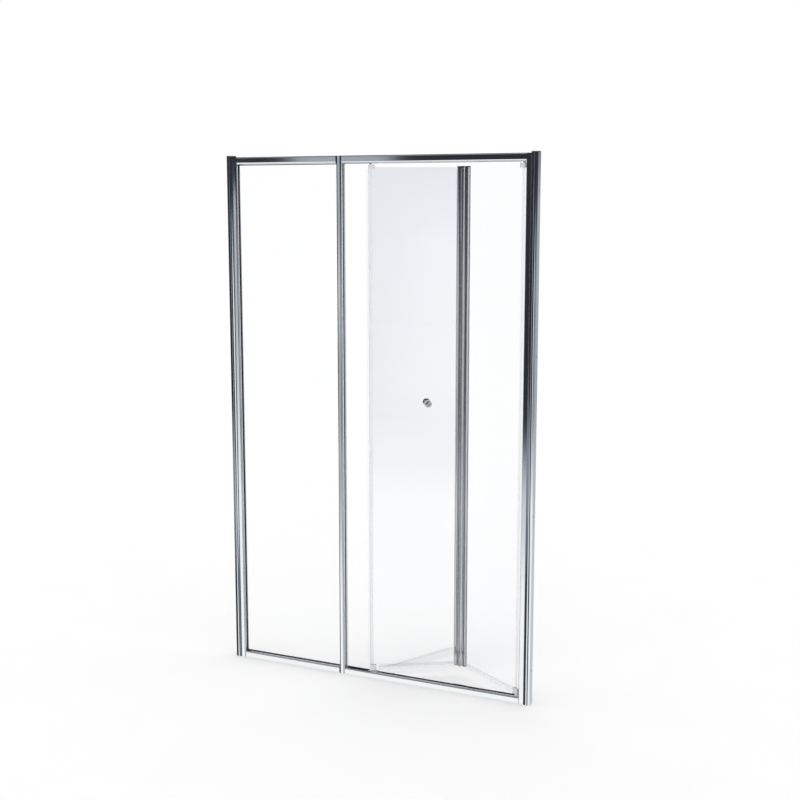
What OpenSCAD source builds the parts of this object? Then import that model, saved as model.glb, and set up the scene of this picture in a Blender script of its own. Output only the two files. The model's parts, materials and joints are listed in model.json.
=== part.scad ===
// Framed bi-fold shower door with a fixed in-line panel.
// Two glass leaves fold into the shower: the pivot leaf turns at the right jamb, the leading
// leaf is joined to it by a full-height knuckle hinge and is guided in the head and sill tracks.
// Millimetres. Origin at the centre of the sill's base; +X right, +Y into the shower, +Z up.

/* [Overall] */
// Width over both wall channels
total_w = 1160; // [1100:5:1400]
// Height over the caps of the wall channels
total_h = 1850; // [1700:5:2000]
// Depth of the wall channels, front to back, without the bead
channel_d = 28; // [28:1:40]
// Distance from the left wall to the mid post
panel_w = 434; // [300:2:500]

/* [Wall channels] */
// Width of a wall channel seen from the front
channel_w = 23; // [22:1:40]
// Thickness of the channel's flanges
channel_wall = 1.8; // [1.4:0.2:2]
// Thickness of the channel's back plate, against the wall
channel_back = 3; // [2:0.5:4]
// Width of the rounded bead down the channel's front
bead_w = 16; // [10:1:18]
// How far the bead stands out from the channel's front
bead_h = 2.5; // [1:0.1:3]
// Distance from the wall to the middle of the bead
bead_x = 11; // [10:0.5:12]
// Slide gap between a channel and the stile inside it
slide_gap = 0.3; // [0.2:0.1:0.6]
// Radius of the wall screw holes
wall_hole_r = 2.75; // [2:0.25:3.5]
// Height of the lowest wall screw hole, and drop of the highest one
wall_hole_end = 121; // [60:1:250]
// Thickness of the cap on a channel
cap_t = 3; // [2:0.5:3.5]
// Length of a cap's plug in the channel
cap_plug = 12; // [8:1:20]
// Height of the lowest screw between channel and stile, and drop of the highest one
fix_end = 185; // [100:5:300]

/* [Frame extrusions] */
// Wall thickness of the hollow extrusions
wall_t = 1.6; // [1.2:0.2:2]
// Visible width of the stile beside a wall channel
stile_show = 17; // [10:1:30]
// Distance from the wall to the end of the stile hidden in the channel
stile_inset = 14; // [11:1:18]
// Width of the mid post
mid_post_w = 22; // [21:1:30]
// Height of the head rails
head_h = 27; // [26:1:36]
// Drop of the frame's top below the caps
head_drop = 5; // [4:1:10]
// Height of the sill rails
sill_h = 24; // [22:1:32]
// Radius of the head rail's lower front edge
head_nose_r = 8; // [4:1:9]
// Radius of the sill's upper front edge
sill_nose_r = 6; // [4:1:10]
// Radius of the front edges beside the glass and the doorway
front_r = 6.5; // [3:0.5:6.5]
// Radius of the other outer edges
edge_r = 2; // [1.5:0.5:3]

/* [Glass] */
// Thickness of the glass
glass_t = 5; // [4:1:6]
// Width of the glazing groove in the frame
groove_w = 10; // [9:0.5:12]
// Depth of the glazing groove in the frame
groove_depth = 12; // [10:1:14]
// Overlap of the fixed glass in its grooves
glass_bite = 9; // [6:1:10]
// Length of a setting block under the fixed glass
block_l = 60; // [30:5:100]
// Distance from a side of the fixed glass to the middle of a setting block
block_inset = 79; // [60:1:110]

/* [Leaves] */
// Gap from the strike jamb to the closed leading edge
strike_gap = 9; // [8:0.5:12]
// Distance from the leading edge to the guide axis
guide_inset = 14; // [12:1:18]
// Distance from the pivot axis to the pivot jamb
pivot_inset = 10; // [10:1:15]
// Height of the leaves' glass above the sill
leaf_lift = 14; // [12:1:20]
// Gap from the leaves' glass to the head rail
leaf_drop = 12; // [11:1:20]
// Angle between each leaf and the frame as drawn
rest_fold = 32; // [0:1:82]

/* [Hinge] */
// Distance of the fold axis in front of the glass plane
fold_offset = 13; // [12.5:0.5:16]
// Outer radius of the hinge barrel
barrel_r = 6; // [5:0.5:6]
// Radius of the hinge pin
pin_r = 3; // [2:0.5:3.5]
// Number of knuckles over the height
knuckles = 7; // [5:2:11]
// Gap between two knuckles
knuckle_gap = 0.8; // [0.6:0.1:1.5]
// Width of a hinge stile along the leaf
hinge_stile_w = 16; // [14:1:24]
// Half of the gap between the two hinge stiles when closed
hinge_half_gap = 1.5; // [1:0.5:2]
// Half thickness of a hinge stile
hinge_half_t = 6; // [5.5:0.25:6]
// Wall of a hinge stile beside the glazing
hinge_wall = 2; // [1.6:0.2:2.4]
// Gap from the sill and head rail to the hinge stiles
hinge_end_gap = 8; // [7:1:14]

/* [Pivots and guides] */
// Radius of the pivot pins
pivot_r = 4; // [3:0.5:4]
// Radius of the guide pins
guide_r = 3; // [2:0.5:4]
// Width of the track slot in the door's rails
slot_w = 14; // [13:0.5:15]
// Depth of the track slot in the head rail
head_slot = 16; // [15:1:17]
// Depth of the track slot in the sill
sill_slot = 12; // [10:1:13]
// Side clearance of a block in the track slot
slot_gap = 0.3; // [0.2:0.1:0.5]
// Length of a guide block
guide_len = 30; // [20:1:36]
// Length of a corner clamp on a leaf
clamp_len = 22; // [20:1:36]
// Height of a corner clamp
clamp_h = 16; // [16:1:24]
// Half thickness of a corner clamp
clamp_half_t = 6.5; // [5.5:0.25:7]
// Radius of the round nose of the pivot edge seal
nose_r = 7; // [5.5:0.5:7]

/* [Knob] */
// Distance from the fold axis to the knob
knob_inset = 119; // [60:1:160]
// Height of the knob
knob_z = 995; // [800:5:1200]
// Largest radius of the knob
knob_r = 13; // [11.5:0.5:15]
// How far a knob stands out from the glass
knob_reach = 30; // [22:1:32]
// Radius of the knob's foot
knob_foot_r = 10; // [8:0.5:12]
// Radius of the knob's waist
knob_waist_r = 6; // [5:0.5:7.5]
// Radius of the hole in the glass for the knob
knob_hole_r = 6; // [5:0.5:8]
// Height of the knob's foot
knob_foot_h = 3; // [2:0.5:4]
// How much the ball of the knob is flattened at its crown
knob_flat = 1.5; // [0.5:0.5:3]
// Radius of the threaded spindle
spindle_r = 3; // [2:0.5:4]

/* [Screws] */
// Radius of a frame screw's shank
screw_r = 2; // [1.5:0.25:2.25]
// Radius of a frame screw's head
screw_head_r = 3.6; // [3:0.2:4]
// Height of a frame screw's head
screw_head_h = 2.4; // [1.6:0.2:2.6]
// Length of a corner screw in the rail
screw_len = 25; // [15:1:35]
// Height of the sill's screw ports
sill_port_rise = 6; // [5.5:0.25:6.5]
// Drop of the head rails' screw ports below the frame's top
head_port_drop = 5.5; // [5.25:0.25:6]

/* [Hidden] */
$fn = 48;
// Clearance of a running pin, of a fixed pin and of a screw in its hole
run_fit = 0.05;
seat_fit = 0.02;
screw_fit = 0.1;
// Overrun of every cut past the face that it opens
cut = 1;

// Frame
half_w = total_w / 2;
channel_h = total_h - cap_t;
frame_top = total_h - head_drop;
stile_d = channel_d - 2 * (channel_wall + slide_gap);
flange_r = 0.8;
stile_end = channel_w + stile_show;
stile_w = stile_end - stile_inset;
half_d = stile_d / 2;
head_z = frame_top - head_h;
wall_x = -half_w;
panel_left = wall_x + stile_end;
mid_x = wall_x + panel_w;
door_left = mid_x + mid_post_w;
door_right = half_w - stile_end;
wall_hole_step = (channel_h - 2 * wall_hole_end) / 3;
port_r = screw_r + wall_t;
head_port_z = frame_top - head_port_drop;
fix_x = half_w - (stile_inset + channel_w) / 2;
fix_z = [fix_end, channel_h / 2, channel_h - fix_end];
web_depth = groove_depth + wall_t;

// Leaves, drawn closed in the plane Y = 0 and then folded by rest_fold
pivot_x = door_right - pivot_inset;
guide_x = door_left + strike_gap + guide_inset;
leaf_l = (pivot_x - guide_x) / 2;
fold_x = pivot_x - leaf_l;
link = sqrt(pow(leaf_l, 2) + pow(fold_offset, 2));
lead_in = atan(fold_offset / leaf_l);
fold_rest = [pivot_x - link * cos(rest_fold - lead_in), link * sin(rest_fold - lead_in)];
guide_rest_x = pivot_x - 2 * link * cos(rest_fold - lead_in);
leaf_z0 = sill_h + leaf_lift;
leaf_z1 = head_z - leaf_drop;
hinge_z0 = sill_h + hinge_end_gap;
hinge_z1 = head_z - hinge_end_gap;
cap_h = 2;
hinge_web = 3.5;
hinge_edge_r = 1.5;
arm_over = 4;
barrel_z0 = hinge_z0 + cap_h;
barrel_z1 = hinge_z1 - cap_h;
pitch = (barrel_z1 - barrel_z0 + knuckle_gap) / knuckles;
glass_seat = hinge_half_gap + hinge_web;
pivot_glass_in = 2;
pivot_glass_x = pivot_x - pivot_glass_in;
guide_glass_out = 6;
lead_glass_x = guide_x - guide_glass_out;
washer_t = 3.2;
clamp_gap = 3.5;
clamp_z1 = head_z - clamp_gap;
clamp_z0 = sill_h + clamp_gap;
clamp_low_h = clamp_h + 5;
clamp_screw_in = 5;
clamp_r = 2;
pin_cover = 1.5;
pin_end_gap = 0.5;
pin_out = 1;
bush_floor = 2;
pivot_clamp_out = 5;
guide_clamp_in = 8;
bush_len = 18;
block_h = 10;
block_gap = 2;
block_lift = 1;
block_r = 4;
knob_x = fold_x - knob_inset;
knob_bore_h = 12;
knob_washer_t = 1;
spindle_out = 11;

// Seals
seal_t = (groove_w - glass_t) / 2;
seal_root = 1;
seal_lip = 1.5;
pivot_seal_lip = 5;
magnet_half_t = 5;
magnet_r = 1.5;
magnet_gap = 2;
magnet_web = 1;
sleeve_wall = 1.6;
pivot_sleeve = 10;
magnet_sleeve = 10;
drip_wall = 1.2;
drip_sleeve = 8;
drip_web = 2;
drip_half_fin = 0.8;
drip_gap = 3;
gap_strip_clear = 0.6;
gap_strip_in = 2;

// Places of the moving pieces as drawn

module on_pivot_leaf() {
    translate([pivot_x, 0, 0])
        rotate([0, 0, -rest_fold])
            translate([-pivot_x, 0, 0])
                children();
}

module on_leading_leaf() {
    translate([fold_rest[0], fold_rest[1], 0])
        rotate([0, 0, rest_fold])
            translate([-fold_x, fold_offset, 0])
                children();
}

module on_guide() {
    translate([guide_rest_x - guide_x, 0, 0])
        children();
}

// Sections

// Rectangle from p to q whose four corners have the radii r, anticlockwise from p
module rounded(p, q, r) {
    difference() {
        translate(p)
            square(q - p);
        corner_waste(p, [1, 1], r[0]);
        corner_waste([q[0], p[1]], [-1, 1], r[1]);
        corner_waste(q, [-1, -1], r[2]);
        corner_waste([p[0], q[1]], [1, -1], r[3]);
    }
}

// What a rounded corner loses
module corner_waste(p, side, r) {
    if (r > 0)
        translate(p)
            scale([side[0], side[1]])
                difference() {
                    translate([-cut, -cut])
                        square(r + cut);
                    translate([r, r])
                        circle(r = r, $fn = 64);
                }
}

// U-shaped wall channel, wall at X = 0, open towards +X, with a rounded bead down its front
module channel_section() {
    bead_r = (pow(bead_w, 2) / 4 + pow(bead_h, 2)) / (2 * bead_h);
    cavity_d = channel_d - 2 * channel_wall;
    difference() {
        union() {
            rounded([0, -channel_d / 2], [channel_w, channel_d / 2], [0, flange_r, flange_r, 0]);
            intersection() {
                translate([bead_x, -channel_d / 2 - bead_h + bead_r])
                    circle(r = bead_r, $fn = 180);
                translate([bead_x - bead_w / 2, -channel_d / 2 - bead_h])
                    square([bead_w, bead_h + channel_wall / 2]);
            }
        }
        translate([channel_back, -cavity_d / 2])
            square([channel_w, cavity_d]);
    }
}

// Hollow stile of width w from X = 0, with its glazing groove opening at +X. The front edges
// at X = 0 and at X = w have the radii r0 and r1
module glazed_stile_section(w, r0, r1) {
    web = w - web_depth;
    side_d = half_d - groove_w / 2 - 2 * wall_t;
    inner_r = [for (r = [r0, r1, edge_r, edge_r]) max(0, r - wall_t)];
    difference() {
        rounded([0, -half_d], [w, half_d], [r0, r1, edge_r, edge_r]);
        translate([w - groove_depth, -groove_w / 2])
            square([groove_depth + cut, groove_w]);
        intersection() {
            rounded([wall_t, -half_d + wall_t], [w - wall_t, half_d - wall_t], inner_r);
            union() {
                translate([0, -half_d])
                    square([web, stile_d]);
                for (s = [-1, 1])
                    translate([w - groove_depth, s * (half_d - wall_t - side_d / 2) - side_d / 2])
                        square([groove_depth, side_d]);
            }
        }
    }
}

// Plain hollow jamb of width w from X = 0, with the radius r0 on its front edge at X = 0
module box_section(w, r0) {
    difference() {
        rounded([0, -half_d], [w, half_d], [r0, edge_r, edge_r, edge_r]);
        rounded([wall_t, -half_d + wall_t], [w - wall_t, half_d - wall_t],
            [max(0, r0 - wall_t), 0, 0, 0]);
    }
}

// Rail section in Y and Z from z0 to z1, with radii r and a slot at its centre from the side
// `open`, -1 below or 1 above. A screw port stands in the chamber behind the slot
module rail_section(z0, z1, r, slot_width, slot_depth, open, port_z) {
    slot_z = open < 0 ? z0 : z1 - slot_depth;
    difference() {
        rounded([-half_d, z0], [half_d, z1], r);
        translate([-slot_width / 2, slot_z - (open < 0 ? cut : 0)])
            square([slot_width, slot_depth + cut]);
        difference() {
            rounded([-half_d + wall_t, z0 + wall_t], [half_d - wall_t, z1 - wall_t],
                [for (ri = r) max(0, ri - wall_t)]);
            translate([-slot_width / 2 - wall_t, slot_z - wall_t])
                square([slot_width + 2 * wall_t, slot_depth + 2 * wall_t]);
            translate([-port_r, z0])
                square([2 * port_r, z1 - z0]);
        }
        translate([0, port_z])
            circle(r = screw_r + seat_fit);
    }
}

// Extrudes a section drawn in Y and Z along X, from x0 to x1
module along_x(x0, x1) {
    translate([x0, 0, 0])
        rotate([90, 0, 90])
            linear_extrude(x1 - x0)
                children();
}

// Extrudes a section drawn in X and Y up Z, from z0 to z1
module along_z(z0, z1) {
    translate([0, 0, z0])
        linear_extrude(z1 - z0)
            children();
}

// Round bar up Z
module bar_z(p, r, z0, z1) {
    translate([p[0], p[1], z0])
        cylinder(r = r, h = z1 - z0);
}

// Round bar along X
module bar_x(x0, x1, y, z, r) {
    translate([x0, y, z])
        rotate([0, 90, 0])
            cylinder(r = r, h = x1 - x0);
}

// Screw whose head bears at x and whose shank runs len towards dir
module screw_x(x, y, z, dir, len) {
    translate([x, y, z])
        rotate([0, 90 * dir, 0]) {
            cylinder(r = screw_r, h = len);
            translate([0, 0, -screw_head_h])
                cylinder(r = screw_head_r, h = screw_head_h);
        }
}

// Screw whose head bears at y and whose shank runs towards -Y
module screw_y(x, y, z, len) {
    translate([x, y, z])
        rotate([90, 0, 0]) {
            cylinder(r = screw_r, h = len);
            translate([0, 0, -screw_head_h])
                cylinder(r = screw_head_r, h = screw_head_h);
        }
}

// Places of the rails' screw ports
module at_ports() {
    for (z = [sill_port_rise, head_port_z])
        translate([0, 0, z])
            children();
}

// Drill for the corner screws through a stile, from their heads at x0 to the rail at x1, with
// access holes for the heads through the wall between x2 and x3
module port_drill(x0, x1, x2, x3) {
    at_ports() {
        bar_x(min(x0, x1) - cut, max(x0, x1) + cut, 0, 0, screw_r + screw_fit);
        bar_x(x2 - cut / 2, x3 + cut / 2, 0, 0, screw_head_r + 2 * screw_fit);
    }
}

// Frame pieces

module wall_channel(side) {
    color("silver")
        difference() {
            translate([side * half_w, 0, 0])
                scale([-side, 1, 1])
                    along_z(0, channel_h)
                        channel_section();
            for (i = [0:3])
                bar_x(side * half_w - channel_back - cut, side * half_w + channel_back + cut, 0,
                    wall_hole_end + i * wall_hole_step, wall_hole_r);
            for (z = fix_z)
                translate([side * fix_x, 0, z])
                    rotate([-90, 0, 0])
                        cylinder(r = screw_r + screw_fit, h = channel_d);
        }
}

module wall_channel_left() {
    wall_channel(-1);
}

module wall_channel_right() {
    wall_channel(1);
}

// Caps that close the tops of both channels
module channel_caps() {
    plug_d = channel_d - 2 * channel_wall - 2 * slide_gap;
    color("silver")
        for (s = [-1, 1])
            translate([s * half_w, 0, 0])
                scale([-s, 1, 1])
                    difference() {
                        union() {
                            translate([channel_back + slide_gap, -plug_d / 2,
                                    channel_h - cap_plug])
                                cube([stile_inset - channel_back - 2 * slide_gap, plug_d,
                                        cap_plug]);
                            translate([0, 0, channel_h])
                                linear_extrude(cap_t)
                                    cap_outline();
                        }
                        translate([channel_back + slide_gap + wall_t, -plug_d / 2 + wall_t,
                                channel_h - cap_plug - cut])
                            cube([stile_inset - channel_back - 2 * (slide_gap + wall_t),
                                    plug_d - 2 * wall_t, cap_plug]);
                    }
}

// Outline of a channel without its cavity
module cap_outline() {
    channel_section();
    translate([channel_back - cut, -channel_d / 2 + channel_wall - cut / 2])
        square([channel_w - channel_back + cut, channel_d - 2 * channel_wall + cut]);
}

module panel_wall_stile() {
    color("silver")
        difference() {
            translate([wall_x + stile_inset, 0, 0])
                along_z(0, frame_top)
                    glazed_stile_section(stile_w, edge_r, front_r);
            port_drill(panel_left - web_depth, panel_left, wall_x + stile_inset,
                wall_x + stile_inset + wall_t);
            channel_fix_pilots(-1);
        }
}

// Pilot holes in a stile for the screws through its channel
module channel_fix_pilots(side) {
    for (z = fix_z)
        translate([side * fix_x, half_d - 2 * wall_t, z])
            rotate([-90, 0, 0])
                cylinder(r = screw_r + seat_fit, h = 2 * wall_t + cut);
}

module rail_head_section(slot_width, slot_depth) {
    rail_section(head_z, frame_top, [head_nose_r, edge_r, edge_r, 2 * edge_r], slot_width,
        slot_depth, -1, head_port_z);
}

module rail_sill_section(slot_width, slot_depth) {
    rail_section(0, sill_h, [edge_r / 2, edge_r / 2, edge_r, sill_nose_r], slot_width,
        slot_depth, 1, sill_port_rise);
}

module panel_head_rail() {
    color("silver")
        along_x(panel_left, mid_x)
            rail_head_section(groove_w, groove_depth);
}

module panel_sill_rail() {
    color("silver")
        along_x(panel_left, mid_x)
            rail_sill_section(groove_w, groove_depth);
}

module mid_post() {
    color("silver")
        difference() {
            translate([door_left, 0, 0])
                scale([-1, 1, 1])
                    along_z(0, frame_top)
                        glazed_stile_section(mid_post_w, front_r, front_r);
            at_ports()
                bar_x(mid_x - cut, door_left + cut, 0, 0, screw_r + screw_fit);
        }
}

module panel_glass() {
    color([0.85, 0.92, 0.95, 0.3])
        translate([panel_left - glass_bite, -glass_t / 2, sill_h - glass_bite])
            cube([mid_x - panel_left + 2 * glass_bite, glass_t,
                    head_z - sill_h + 2 * glass_bite]);
}

// Wedge seals between the fixed glass and its frame, in front and behind
module panel_glazing_seals() {
    bite = glass_bite - seal_root;
    color("whitesmoke")
        for (s = [-1, 1]) {
            y = s < 0 ? -groove_w / 2 : glass_t / 2;
            for (z = [sill_h - bite, head_z - seal_lip])
                translate([panel_left + seal_lip, y, z])
                    cube([mid_x - panel_left - 2 * seal_lip, seal_t, bite + seal_lip]);
            for (x = [panel_left - bite, mid_x - seal_lip])
                translate([x, y, sill_h])
                    cube([bite + seal_lip, seal_t, head_z - sill_h]);
        }
}

// Blocks that carry the fixed glass in the sill's groove
module panel_setting_blocks() {
    for (x = [panel_left + block_inset, mid_x - block_inset])
        color("dimgray")
            translate([x - block_l / 2, -groove_w / 2 + slot_gap, sill_h - groove_depth])
                cube([block_l, groove_w - 2 * slot_gap, groove_depth - glass_bite]);
}

// Magnetic strip that the leading leaf closes on
module strike_magnet_seal() {
    color("whitesmoke")
        translate([door_left, 0, 0])
            along_z(sill_h + slot_gap, head_z - slot_gap)
                rounded([0, -magnet_half_t], [strike_gap - magnet_gap, magnet_half_t],
                    [0, magnet_r, magnet_r, 0]);
}

// Studs through the mid post into the ports of the rails on both sides
module mid_post_studs() {
    color("gray")
        at_ports()
            bar_x(mid_x - screw_len, door_left + screw_len, 0, 0, screw_r);
}

module door_head_rail() {
    color("silver")
        along_x(door_left, door_right)
            rail_head_section(slot_w, head_slot);
}

module door_sill_rail() {
    color("silver")
        along_x(door_left, door_right)
            rail_sill_section(slot_w, sill_slot);
}

module pivot_jamb() {
    color("silver")
        difference() {
            translate([door_right, 0, 0])
                along_z(0, frame_top)
                    box_section(stile_w, edge_r);
            port_drill(door_right, door_right + wall_t, door_right + stile_w - wall_t,
                door_right + stile_w);
            channel_fix_pilots(1);
        }
}

// Screws through the stiles and jambs into the ports of the rails
module corner_screws() {
    color("gray")
        at_ports() {
            screw_x(panel_left - web_depth, 0, 0, 1, web_depth + screw_len);
            screw_x(door_right + wall_t, 0, 0, -1, wall_t + screw_len);
        }
}

// Screws from the shower side that fix the stiles in their channels
module channel_screws() {
    color("gray")
        for (s = [-1, 1], z = fix_z)
            screw_y(s * fix_x, channel_d / 2, z, channel_wall + slide_gap + 2 * wall_t);
}

// Nylon block in a track that the pivot pin turns in
module pivot_bush(z0, z1) {
    color("whitesmoke")
        difference() {
            translate([pivot_x - bush_len / 2, -slot_w / 2 + slot_gap, z0])
                cube([bush_len, slot_w - 2 * slot_gap, z1 - z0]);
            bar_z([pivot_x, 0], pivot_r + run_fit, z0 - cut, z1 + cut);
        }
}

module pivot_bush_top() {
    pivot_bush(head_z, head_z + head_slot);
}

module pivot_bush_bottom() {
    pivot_bush(sill_h - sill_slot, sill_h);
}

// Pieces of the pivot leaf, on the +X side of the fold axis

// Glass of a leaf between x0 and x1, with its bottom and top edges
module leaf_pane(x0, x1) {
    translate([x0, -glass_t / 2, leaf_z0])
        cube([x1 - x0, glass_t, leaf_z1 - leaf_z0]);
}

module pivot_leaf_glass() {
    color([0.8, 0.87, 0.9, 0.3])
        on_pivot_leaf()
            leaf_pane(fold_x + glass_seat, pivot_glass_x);
}

// Clear seal on the pivot edge, with a round nose about the pivot axis
module pivot_edge_seal() {
    sleeve_t = glass_t / 2 + sleeve_wall;
    color("whitesmoke")
        on_pivot_leaf()
            along_z(clamp_z0 + clamp_low_h + slot_gap, clamp_z1 - clamp_h - slot_gap)
                difference() {
                    union() {
                        translate([pivot_x, 0])
                            circle(r = nose_r);
                        translate([pivot_x - pivot_sleeve, -sleeve_t])
                            square([pivot_sleeve, 2 * sleeve_t]);
                    }
                    translate([pivot_x - pivot_sleeve - cut, -glass_t / 2 - seat_fit])
                        square([pivot_sleeve + cut - pivot_glass_in + seat_fit,
                                glass_t + 2 * seat_fit]);
                }
}

// Section of a hinge stile, u running away from the fold axis at u = 0
module hinge_stile_section() {
    r = hinge_edge_r;
    difference() {
        rounded([hinge_half_gap, -hinge_half_t], [hinge_half_gap + hinge_stile_w, hinge_half_t],
            [r, r, r, r]);
        translate([glass_seat, -hinge_half_t + hinge_wall])
            square([hinge_stile_w, 2 * (hinge_half_t - hinge_wall)]);
    }
}

// Arm and barrel of a knuckle, before its bore
module knuckle_section() {
    translate([0, -fold_offset])
        circle(r = barrel_r);
    translate([0, -fold_offset - cut])
        square([hinge_half_gap + arm_over, fold_offset - hinge_half_t + 2 * cut]);
}

// Hinge stile with the knuckles i that have i % 2 == own
module hinge_stile(own) {
    difference() {
        union() {
            along_z(barrel_z0, barrel_z1)
                hinge_stile_section();
            for (i = [0:knuckles - 1])
                if (i % 2 == own)
                    along_z(barrel_z0 + i * pitch, barrel_z0 + (i + 1) * pitch - knuckle_gap)
                        knuckle_section();
        }
        bar_z([0, -fold_offset], pin_r + run_fit, barrel_z0 - cut, barrel_z1 + cut);
    }
}

module pivot_leaf_hinge_stile() {
    color("silver")
        on_pivot_leaf()
            translate([fold_x, 0, 0])
                hinge_stile(0);
}

// Wedge seals on both faces of the glass in a hinge stile
module hinge_glazing(lip) {
    inner = hinge_half_t - hinge_wall;
    u0 = glass_seat + seal_root;
    for (s = [-1, 1])
        translate([u0, s < 0 ? -inner : glass_t / 2, leaf_z0])
            cube([hinge_half_gap + hinge_stile_w - u0 + lip, inner - glass_t / 2,
                    leaf_z1 - leaf_z0]);
}

module pivot_leaf_glazing_seal() {
    color("whitesmoke")
        on_pivot_leaf()
            translate([fold_x, 0, 0])
                hinge_glazing(pivot_seal_lip);
}

// Clear strip that grips the lower edge of a leaf and hangs a fin towards the sill
module drip_seal(x0, x1) {
    grip = glass_t / 2 + drip_wall;
    web_z = leaf_z0 - drip_web;
    fin_z = sill_h + drip_gap;
    difference() {
        union() {
            translate([x0, -grip, web_z])
                cube([x1 - x0, 2 * grip, drip_web + drip_sleeve]);
            translate([x0, -drip_half_fin, fin_z])
                cube([x1 - x0, 2 * drip_half_fin, web_z - fin_z]);
        }
        translate([x0 - cut, -glass_t / 2 - seat_fit, leaf_z0 - seat_fit])
            cube([x1 - x0 + 2 * cut, glass_t + 2 * seat_fit, drip_sleeve + cut]);
    }
}

module pivot_leaf_drip_seal() {
    color("whitesmoke")
        on_pivot_leaf()
            drip_seal(fold_x + hinge_half_gap + hinge_stile_w + pivot_seal_lip + seal_root,
                pivot_x - clamp_len);
}

// Soft strip that closes the gap between the hinge stiles
module fold_gap_seal() {
    color("whitesmoke")
        on_pivot_leaf()
            translate([fold_x, 0, 0])
                along_z(barrel_z0, barrel_z1)
                    translate([-hinge_half_gap + gap_strip_clear, 0])
                        square([2 * hinge_half_gap - gap_strip_clear,
                                hinge_half_t - gap_strip_in]);
}

// Plugs that close the ends of a hinge stile
module stile_caps() {
    for (z = [hinge_z0, hinge_z1 - cap_h])
        translate([hinge_half_gap, -hinge_half_t, z])
            cube([hinge_stile_w, 2 * hinge_half_t, cap_h]);
}

module pivot_stile_caps() {
    color("dimgray")
        on_pivot_leaf()
            translate([fold_x, 0, 0])
                stile_caps();
}

// Corner clamp about a pin axis at X = 0, from u0 to u1 along the leaf. It grips the glass
// between its mouth and z_edge, and the pin stands in its other end
module corner_clamp(u0, u1, z0, z1, z_edge, top, bore_r) {
    z_glass = top ? z0 - cut : z_edge - seat_fit;
    difference() {
        along_z(z0, z1)
            rounded([u0, -clamp_half_t], [u1, clamp_half_t],
                [clamp_r, clamp_r, clamp_r, clamp_r]);
        translate([u0 - cut, -glass_t / 2 - seat_fit, z_glass])
            cube([u1 - u0 + 2 * cut, glass_t + 2 * seat_fit,
                    top ? z_edge + seat_fit - z_glass : z1 + cut - z_glass]);
        if (top)
            bar_z([0, 0], bore_r, z_edge + pin_cover, z1 + cut);
        else
            bar_z([0, 0], bore_r, z0 - cut, z_edge - pin_cover);
        clamp_screw_hole((u0 + u1) / 2, top ? z0 + clamp_screw_in : z1 - clamp_screw_in);
    }
}

// Hole across a clamp for its screw, beside the glass edge's pin
module clamp_screw_hole(u, z) {
    translate([u, clamp_half_t + cut, z])
        rotate([90, 0, 0])
            cylinder(r = screw_r + screw_fit, h = clamp_half_t + cut - glass_t / 2);
}

module pivot_clamp_top() {
    color("whitesmoke")
        on_pivot_leaf()
            translate([pivot_x, 0, 0])
                corner_clamp(pivot_clamp_out - clamp_len, pivot_clamp_out, clamp_z1 - clamp_h,
                    clamp_z1, leaf_z1, true, pivot_r + seat_fit);
}

module pivot_clamp_bottom() {
    color("whitesmoke")
        on_pivot_leaf()
            translate([pivot_x, 0, 0])
                corner_clamp(pivot_clamp_out - clamp_len, pivot_clamp_out, clamp_z0,
                    clamp_z0 + clamp_low_h, leaf_z0, false, pivot_r + seat_fit);
}

// Pins in the clamps of the pivot leaf, reaching into the bushes
module pivot_pins() {
    color("gray")
        on_pivot_leaf() {
            bar_z([pivot_x, 0], pivot_r, leaf_z1 + pin_cover, head_z + head_slot - bush_floor);
            bar_z([pivot_x, 0], pivot_r, sill_h - sill_slot + bush_floor, leaf_z0 - pin_cover);
        }
}

// Washer that carries the pivot leaf on the bottom bush
module pivot_thrust_washer() {
    color("whitesmoke")
        on_pivot_leaf()
            difference() {
                bar_z([pivot_x, 0], nose_r, sill_h + slot_gap, sill_h + washer_t);
                bar_z([pivot_x, 0], pivot_r + run_fit, sill_h, sill_h + washer_t + cut);
            }
}

// Pin of the hinge, with a riveted head at each end
module hinge_pin() {
    head_h = 2;
    play = 0.2;
    color("gray")
        on_pivot_leaf() {
            bar_z([fold_x, -fold_offset], pin_r, barrel_z0 - play, barrel_z1 + play);
            for (z = [barrel_z0 - play - head_h, barrel_z1 + play])
                bar_z([fold_x, -fold_offset], barrel_r - 1, z, z + head_h);
        }
}

// Washers between the knuckles
module hinge_washers() {
    play = 0.1;
    color("whitesmoke")
        on_pivot_leaf()
            for (i = [1:knuckles - 1])
                difference() {
                    bar_z([fold_x, -fold_offset], barrel_r - 0.5,
                        barrel_z0 + i * pitch - knuckle_gap + play, barrel_z0 + i * pitch - play);
                    bar_z([fold_x, -fold_offset], pin_r + run_fit,
                        barrel_z0 + i * pitch - knuckle_gap, barrel_z0 + i * pitch);
                }
}

module pivot_clamp_screws() {
    color("gray")
        on_pivot_leaf()
            clamp_screws(pivot_x + pivot_clamp_out - clamp_len / 2);
}

// Pieces of the leading leaf, on the -X side of the fold axis

module leading_leaf_glass() {
    color([0.8, 0.87, 0.9, 0.3])
        on_leading_leaf()
            difference() {
                leaf_pane(lead_glass_x, fold_x - glass_seat);
                knob_bore(knob_hole_r);
            }
}

// Bore through the leading leaf at the knob
module knob_bore(r) {
    translate([knob_x, -glass_t, knob_z])
        rotate([-90, 0, 0])
            cylinder(r = r, h = 2 * glass_t);
}

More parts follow.
